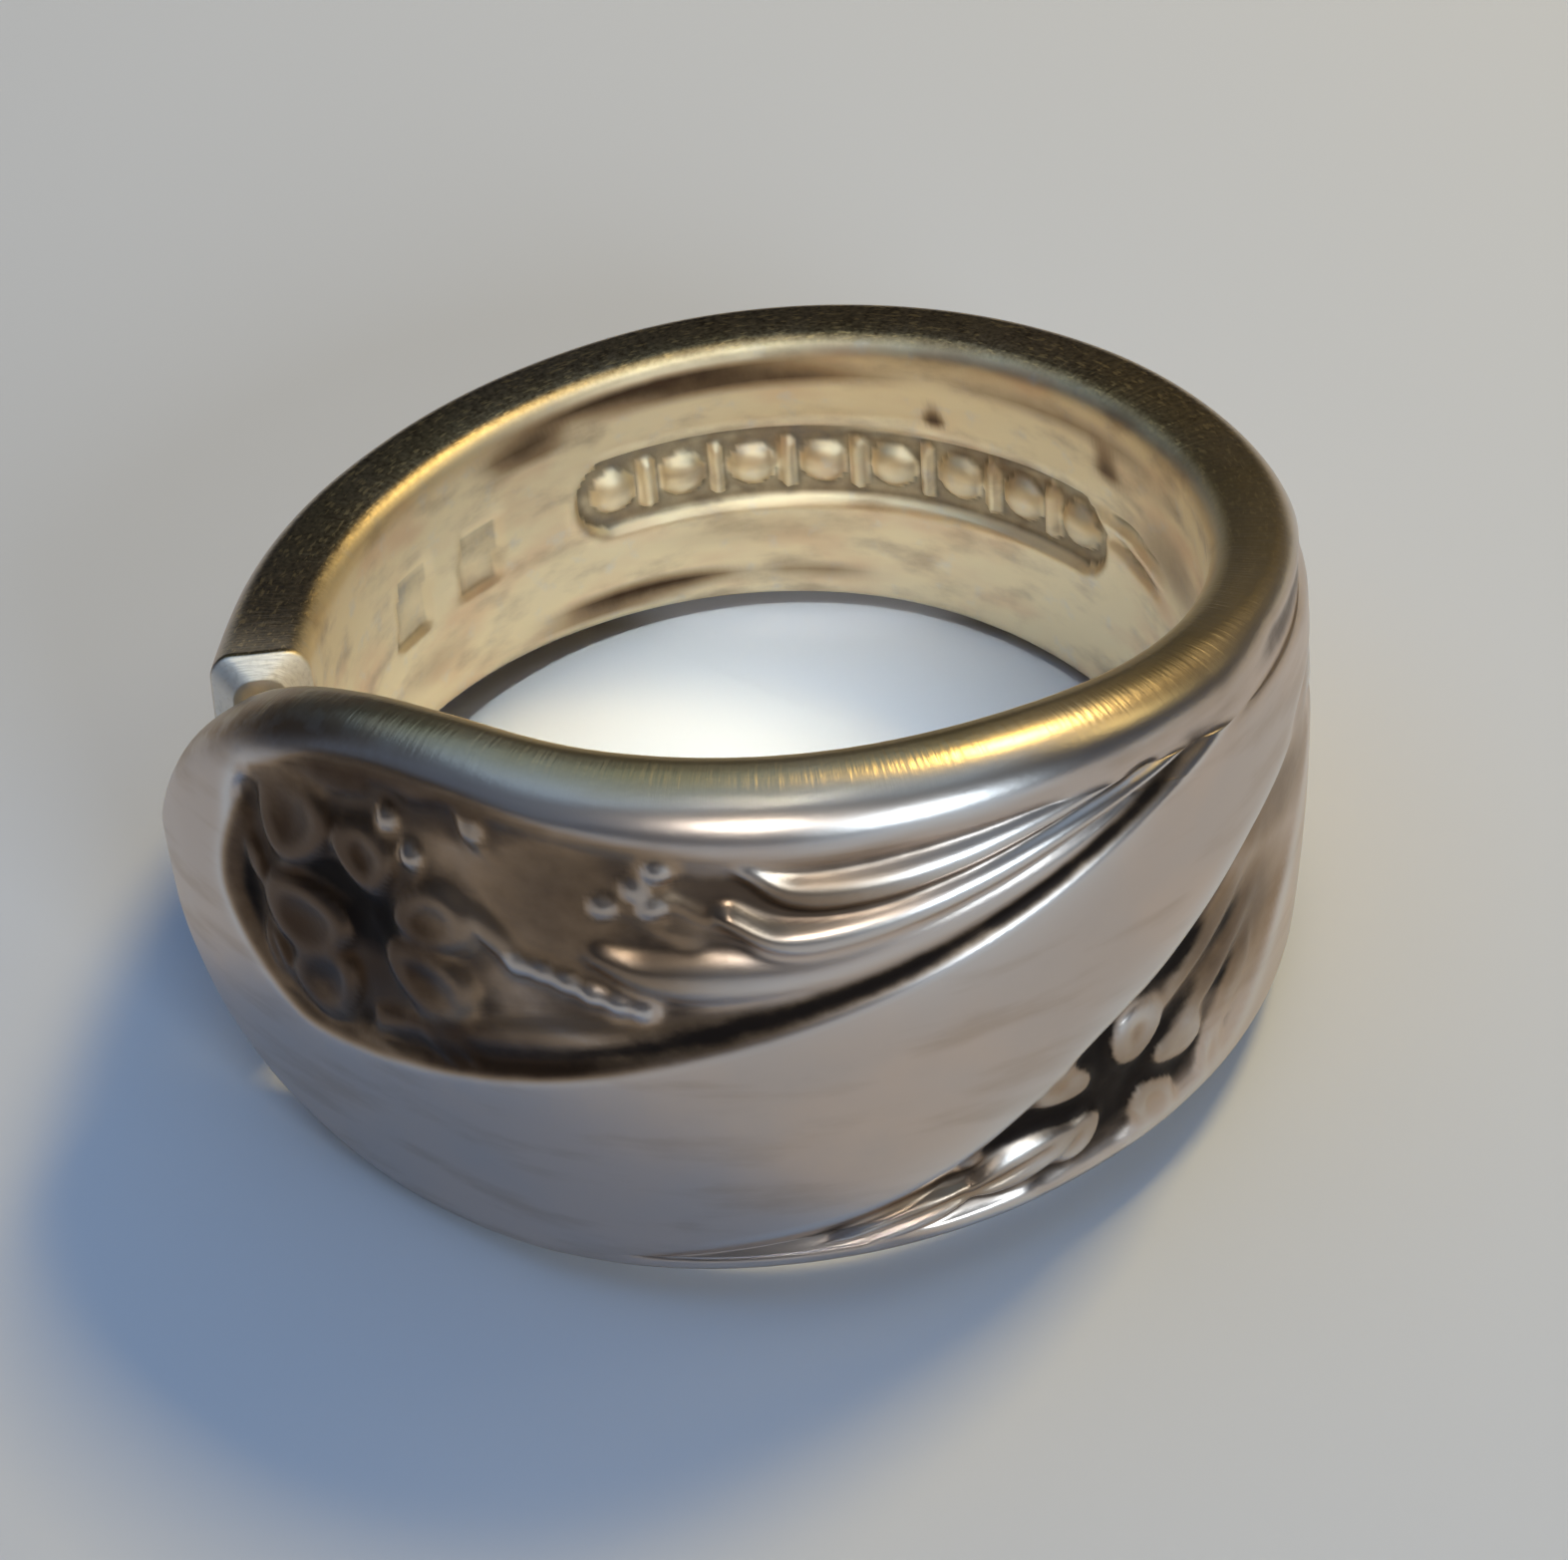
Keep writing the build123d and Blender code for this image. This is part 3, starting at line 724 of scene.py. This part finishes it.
def makeBand():
    rows, columns = len(bandRows()[0]), len(sectionColumns())
    bm = bmesh.new()
    bmesh.ops.create_grid(bm, x_segments=rows - 1, y_segments=columns, size=0.5)
    flat = np.array([vert.co[:2] for vert in bm.verts]) + 0.5
    rowIndex = np.rint(flat[:, 0] * (rows - 1)).astype(int)
    columnIndex = np.rint(flat[:, 1] * columns).astype(int) % columns
    everyRow, everyColumn = np.divmod(np.arange(rows * columns), columns)
    surface = bandSurface(everyRow, everyColumn)
    layers = {**tarnishAndShadeOf(surface, rows, columns), "facing": surface["facing"]}
    places = placeOnBand(surface["along"], surface["up"], surface["out"])
    grid = rowIndex * columns + columnIndex
    made = {name: bm.verts.layers.float.new(name) for name in layers}
    onBand = bm.verts.layers.float_vector.new("onBand")
    flatPlaces = np.stack([surface["along"], surface["up"], surface["out"]], -1)
    for vert, index in zip(bm.verts, grid):
        vert.co = places[index]
        vert[onBand] = flatPlaces[index]
        for name, layer in made.items():
            vert[layer] = layers[name][index]
    for face in bm.faces:
        face.smooth = True
    bmesh.ops.remove_doubles(bm, verts=bm.verts, dist=mesh["mergeReach"] * mm)
    rims = [edge for edge in bm.edges if edge.is_boundary]
    bmesh.ops.holes_fill(bm, edges=rims, sides=0)
    bmesh.ops.recalc_face_normals(bm, faces=bm.faces)
    data = bpy.data.meshes.new("struckBand")
    bm.to_mesh(data)
    bm.free()
    piece = bpy.data.objects.new("struckBand", data)
    bpy.context.scene.collection.objects.link(piece)
    print("band:", len(data.vertices), "vertices", rows, "rows", columns, "columns")
    return piece


struckBand = makeBand()
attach(struckBand, "root")
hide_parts("ring_band")


class Wire:  # a node's output, usable in sums
    def __init__(self, paint, socket):
        self.paint, self.socket = paint, socket

    def maths(self, operation, *others):
        return self.paint.add("Math", {"operation": operation}, dict(enumerate((self, *others))))

    def __add__(self, other):
        return self.maths("ADD", other)

    def __mul__(self, other):
        return self.maths("MULTIPLY", other)

    def __sub__(self, other):
        return self.maths("SUBTRACT", other)

    def __rsub__(self, other):
        return self.paint.add("Math", {"operation": "SUBTRACT"}, {0: other, 1: self})

    __radd__, __rmul__ = __add__, __mul__

    def ramp(self, low, high, most=1.0):  # 0 at low, most at high
        sockets = {"Value": self, "From Min": low, "From Max": high, "To Max": most}
        return self.paint.add("MapRange", {"interpolation_type": "SMOOTHSTEP"}, sockets)

    def line(self, start, slope):  # start at 0, and so much more at 1
        return self * slope + start


class Paint:  # one material being wired
    def __init__(self, name):
        self.material = bpy.data.materials.new(name)
        self.material.use_nodes = True
        self.tree = self.material.node_tree
        self.shader = self.tree.nodes["Principled BSDF"]

    def add(self, kind, settings, sockets, output=0):
        node = self.tree.nodes.new("ShaderNode" + kind)
        for name, value in settings.items():
            setattr(node, name, value)
        for name, value in sockets.items():
            self.feed(node.inputs[name], value)
        return Wire(self, node.outputs[output])

    def feed(self, socket, value):
        if isinstance(value, Wire):
            self.tree.links.new(value.socket, socket)
        else:
            socket.default_value = value

    def attribute(self, name, output="Fac"):
        return self.add("Attribute", {"attribute_name": name}, {}, output)

    def noise(self, place, stretch, scale, detail):
        stretched = self.add("VectorMath", {"operation": "MULTIPLY"}, {0: place, 1: stretch})
        return self.add("TexNoise", {}, {"Vector": stretched, "Scale": scale, "Detail": detail})

    def blend(self, factor, first, second):  # colours
        sockets = {0: factor, 6: first, 7: second}
        return self.add("Mix", {"data_type": "RGBA", "clamp_factor": True}, sockets, 2)


silver = {
    # colours
    "clean": (0.63, 0.54, 0.48, 1),
    "blush": (0.69, 0.56, 0.47, 1),
    "cream": (0.93, 0.79, 0.54, 1),
    "amber": (0.80, 0.57, 0.36, 1),
    "ash": (0.82, 0.76, 0.68, 1),
    "polished": (0.84, 0.84, 0.84, 1),
    "olive": (0.40, 0.30, 0.135, 1),
    # umber darkens the rims with speckle, most at the back; gold paints glints there in flecks
    "umber": (0.070, 0.046, 0.020, 1),
    "gold": (0.80, 0.58, 0.26, 1),
    "filed": (0.95, 0.92, 0.86, 1),
    "sawn": (0.66, 0.62, 0.55, 1),
    "worn": (0.28, 0.20, 0.145, 1),
    "tan": (0.36, 0.235, 0.13, 1),
    "brown": (0.055, 0.030, 0.017, 1),
    "grime": (0.10, 0.072, 0.055, 1),
    # black: patina in the hollows, and painted shade on the wall beside the ribbon
    "oxideAndShade": (0.018, 0.014, 0.013, 1),
    # noises: stretch along, up and out of the band, scale and detail
    "cloud": ((1.0, 1.0, 1.0), 0.34, 2.0),
    "mottle": ((1.0, 1.0, 1.0), 1.7, 4.0),
    "fine": ((1.0, 1.0, 1.0), 9.0, 2.0),
    "drift": ((0.5, 1.1, 1.0), 0.6, 3.0),
    "filing": ((11.0, 1.1, 1.1), 1.0, 3.0),
    "smudge": ((0.3, 1.3, 1.0), 1.1, 4.0),
    "blotch": ((0.6, 1.3, 1.0), 0.9, 5.0),
    "fleck": ((1.8, 5.0, 5.0), 2.2, 2.0),
    # noise, patina or painted shade at which each finish, painted shade or painted glint starts and is
    # full, and how much of it shows
    "blushSpread": (0.35, 0.7),
    "smudgeSpread": (0.48, 0.72, 0.3),
    "amberSpread": (0.46, 0.72, 0.75),
    "ashSpread": (0.55, 0.75, 0.5),
    "blotchSpread": (0.46, 0.80, 0.6),
    "fleckSpread": (0.55, 0.68, 0.55),
    "tipSpread": (0.35, 0.62, 0.85),
    "tanSpread": (0.0, 0.6, 0.85),
    "brownSpread": (0.4, 0.95),
    "grimeSpread": (0.15, 0.9),
    "blackSpread": (0.15, 0.85),
    # how much of each finish shows or is rubbed off the crests; a pair is a start and a slope over a layer
    "polishedShare": 0.7,
    "oliveCloud": (0.55, 0.6),
    "fineSpeckle": 1.4,
    "mottleSpeckle": 0.6,
    "umberSpeckle": 0.15,
    "brownMottle": (0.85, 0.3),
    "brownShare": 0.95,
    "wornShare": 0.34,
    "grimeMottle": (0.55, 0.6),
    "grimeInside": (1.0, -0.25),
    "grimeRubbed": 0.25,
    "grimeShare": 0.85,
    "blackMottle": (0.55, 0.7),
    "blackRubbed": 0.15,
    "blackShare": 0.97,
    # turns of the surface, and places along the band in millimetres
    "insideTurn": (-0.1, 0.5),
    "sideTurn": (0.04, 0.88),
    "sawnReach": (0.42, 0.5),
    "filedReach": (0.0, 0.05),
    "backRimReach": (24.0, 36.0),
    "backRimShare": (0.78, -0.66),
    "tipTurn": (0.03, 0.4),
    "tipReach": (51.0, 56.0),
    # roughness of the face and inside, and what each finish adds
    "roughFace": 0.28,
    "roughInside": 0.46,
    "roughSawn": 0.3,
    "roughSmudge": 0.06,
    "roughBrown": 0.06,
    "roughGrime": 0.08,
    "roughBlack": 0.2,
    "roughMottle": 0.03,
    # grain, its depth in millimetres
    "fineGrain": 0.35,
    "mottleGrain": 0.15,
    "cloudGrain": 4.0,
    "rimFiling": 1.6,
    "sawnFiling": 3.0,
    "grainStrength": 0.3,
    "grainDepth": 0.02,
}


def silverPaint(look):
    paint = Paint("wornSilver")
    place = paint.attribute("onBand", "Vector")
    facing, hollow = paint.attribute("facing"), paint.attribute("hollow")
    patch, crest, dark = paint.attribute("patch"), paint.attribute("crest"), paint.attribute("black")
    along = paint.add("SeparateXYZ", {}, {0: place})
    cloud, mottle = paint.noise(place, *look["cloud"]), paint.noise(place, *look["mottle"])
    fine, drift = paint.noise(place, *look["fine"]), paint.noise(place, *look["drift"])
    filing, smudge = paint.noise(place, *look["filing"]), paint.noise(place, *look["smudge"])
    blotch, fleck = paint.noise(place, *look["blotch"]), paint.noise(place, *look["fleck"])
    speckle = fine * look["fineSpeckle"] + mottle * look["mottleSpeckle"]
    inside = (0 - facing).ramp(*look["insideTurn"])
    side = (1 - facing.maths("ABSOLUTE")).ramp(*look["sideTurn"])
    sawn = 1 - along.ramp(*look["sawnReach"])
    filed = sawn * along.ramp(*look["filedReach"])

    face = paint.blend(cloud.ramp(*look["blushSpread"]), look["clean"], look["blush"])
    face = paint.blend(smudge.ramp(*look["smudgeSpread"]), face, look["tan"])
    face = paint.blend(crest * look["polishedShare"], face, look["polished"])
    hole = paint.blend(drift.ramp(*look["amberSpread"]), look["cream"], look["amber"])
    hole = paint.blend(mottle.ramp(*look["ashSpread"]), hole, look["ash"])
    hole = paint.blend(blotch.ramp(*look["blotchSpread"]), hole, look["tan"])
    colour = paint.blend(inside, face, hole)
    colour = paint.blend(side * cloud.line(*look["oliveCloud"]), colour, look["olive"])
    # the rims darker and speckled, most at the back, with painted gold glints in flecks there
    backRimDarkAndGlints = side * along.ramp(*look["backRimReach"]).line(*look["backRimShare"])
    colour = paint.blend(backRimDarkAndGlints * (speckle - look["umberSpeckle"]), colour, look["umber"])
    colour = paint.blend(backRimDarkAndGlints * fleck.ramp(*look["fleckSpread"]), colour, look["gold"])
    tipRim = (1 - facing).ramp(*look["tipTurn"]) * (1 - inside) * along.ramp(*look["tipReach"])
    colour = paint.blend(tipRim * mottle.ramp(*look["tipSpread"]), colour, look["tan"])
    colour = paint.blend(sawn, colour, look["sawn"])
    colour = paint.blend(filed * speckle, colour, look["filed"])
    # stains, and the painted brown shade on the wall beside the ribbon
    stained = patch * mottle.line(*look["brownMottle"])
    brown = stained.ramp(*look["brownSpread"])
    colour = paint.blend(stained.ramp(*look["tanSpread"]), colour, look["tan"])
    colour = paint.blend(brown * look["brownShare"], colour, look["brown"])
    colour = paint.blend(brown * crest * look["wornShare"], colour, look["worn"])
    grime = hollow * inside.line(*look["grimeInside"]) * mottle.line(*look["grimeMottle"])
    grime = (grime - crest * look["grimeRubbed"]).ramp(*look["grimeSpread"])
    colour = paint.blend(grime * look["grimeShare"], colour, look["grime"])
    # black: patina in the hollows, and painted shade on the wall beside the ribbon
    black = dark * mottle.line(*look["blackMottle"])
    black = (black - crest * look["blackRubbed"]).ramp(*look["blackSpread"])
    colour = paint.blend(black * look["blackShare"], colour, look["oxideAndShade"])
    paint.feed(paint.shader.inputs["Base Color"], colour)

    rough = inside.line(look["roughFace"], look["roughInside"] - look["roughFace"])
    rougher = {
        "roughSawn": sawn,
        "roughSmudge": smudge,
        "roughBrown": brown,
        "roughGrime": grime,
        "roughBlack": black,
        "roughMottle": mottle - 0.5,
    }
    for name, finish in rougher.items():
        rough = rough + finish * look[name]
    paint.feed(paint.shader.inputs["Roughness"], rough)
    paint.shader.inputs["Metallic"].default_value = 1.0
    height = fine * look["fineGrain"] + mottle * look["mottleGrain"] + cloud * look["cloudGrain"]
    height = height + filing * (side * look["rimFiling"] + sawn * look["sawnFiling"])
    sockets = {"Strength": look["grainStrength"], "Distance": look["grainDepth"] * mm, "Height": height}
    paint.feed(paint.shader.inputs["Normal"], paint.add("Bump", {}, sockets))
    return paint.material


struckBand.data.materials.append(silverPaint(silver))
print("band painted")

stage = {
    "floorSize": 600,
    "floorColour": (0.62, 0.65, 0.74, 1),
    "floorRoughness": 0.75,
    "worldColour": (0.42, 0.50, 0.80, 1),
    "worldStrength": 0.05,
    "spotSoftness": 0.7,
}
# each lamp: bearing and elevation in degrees, distance and size in millimetres, watts, colour
lamps = [
    (137, 54, 260, 50, 0.36, (1.0, 0.73, 0.25)),
    (104, 38, 260, 70, 0.035, (1.0, 0.80, 0.34)),
    (29, 24, 280, 110, 0.285, (0.74, 0.88, 1.0)),
    (180, 76, 130, 200, 0.097, (0.44, 0.68, 1.0)),
    (-70, 42, 320, 400, 0.052, (0.56, 0.72, 1.0)),
]
# each spot: bearing and elevation in degrees, distance and place on the floor in millimetres, cone in
# degrees, radius in millimetres, watts, colour
spots = [
    (8, 76, 120, (-0.6, 3.6), 6.4, 6, 0.66, (0.95, 1.0, 0.90)),
    (-7, 38, 260, (0.75, 3.1), 2.2, 7, 1.9, (1.0, 1.0, 0.98)),
]


def addStage(look):
    bm = bmesh.new()
    bmesh.ops.create_grid(bm, x_segments=4, y_segments=4, size=look["floorSize"] * mm)
    data = bpy.data.meshes.new("paleFloor")
    bm.to_mesh(data)
    bm.free()
    floor = bpy.data.objects.new("paleFloor", data)
    bpy.context.scene.collection.objects.link(floor)
    paint = Paint("paleFloor")
    paint.feed(paint.shader.inputs["Base Color"], look["floorColour"])
    paint.feed(paint.shader.inputs["Roughness"], look["floorRoughness"])
    data.materials.append(paint.material)
    world = bpy.data.worlds.new("studio")
    bpy.context.scene.world = world
    world.use_nodes = True
    background = world.node_tree.nodes["Background"]
    background.inputs["Color"].default_value = look["worldColour"]
    background.inputs["Strength"].default_value = look["worldStrength"]
    bpy.context.scene.view_settings.view_transform = "Standard"


def placeLamp(data, azimuth, elevation, distance, at=(0, 0)):
    turn, rise = radians(azimuth), radians(elevation)
    way = Vector((sin(turn) * cos(rise), -cos(turn) * cos(rise), sin(rise)))
    lamp = bpy.data.objects.new(data.name, data)
    lamp.location = Vector((*at, 0)) * mm + way * distance * mm
    lamp.rotation_euler = way.to_track_quat("Z", "Y").to_euler()
    bpy.context.scene.collection.objects.link(lamp)


def addLamp(index, azimuth, elevation, distance, size, power, colour):
    data = bpy.data.lights.new(f"softbox{index}", "AREA")
    data.size, data.energy, data.color = size * mm, power, colour
    placeLamp(data, azimuth, elevation, distance)


def addSpot(index, azimuth, elevation, distance, at, cone, radius, power, colour):
    data = bpy.data.lights.new(f"spot{index}", "SPOT")
    data.energy, data.color = power, colour
    data.shadow_soft_size = radius * mm
    data.spot_size, data.spot_blend = radians(cone), stage["spotSoftness"]
    placeLamp(data, azimuth, elevation, distance, at)


addStage(stage)
for index, row in enumerate(lamps):
    addLamp(index, *row)
for index, row in enumerate(spots):
    addSpot(index, *row)
print("stage lit")
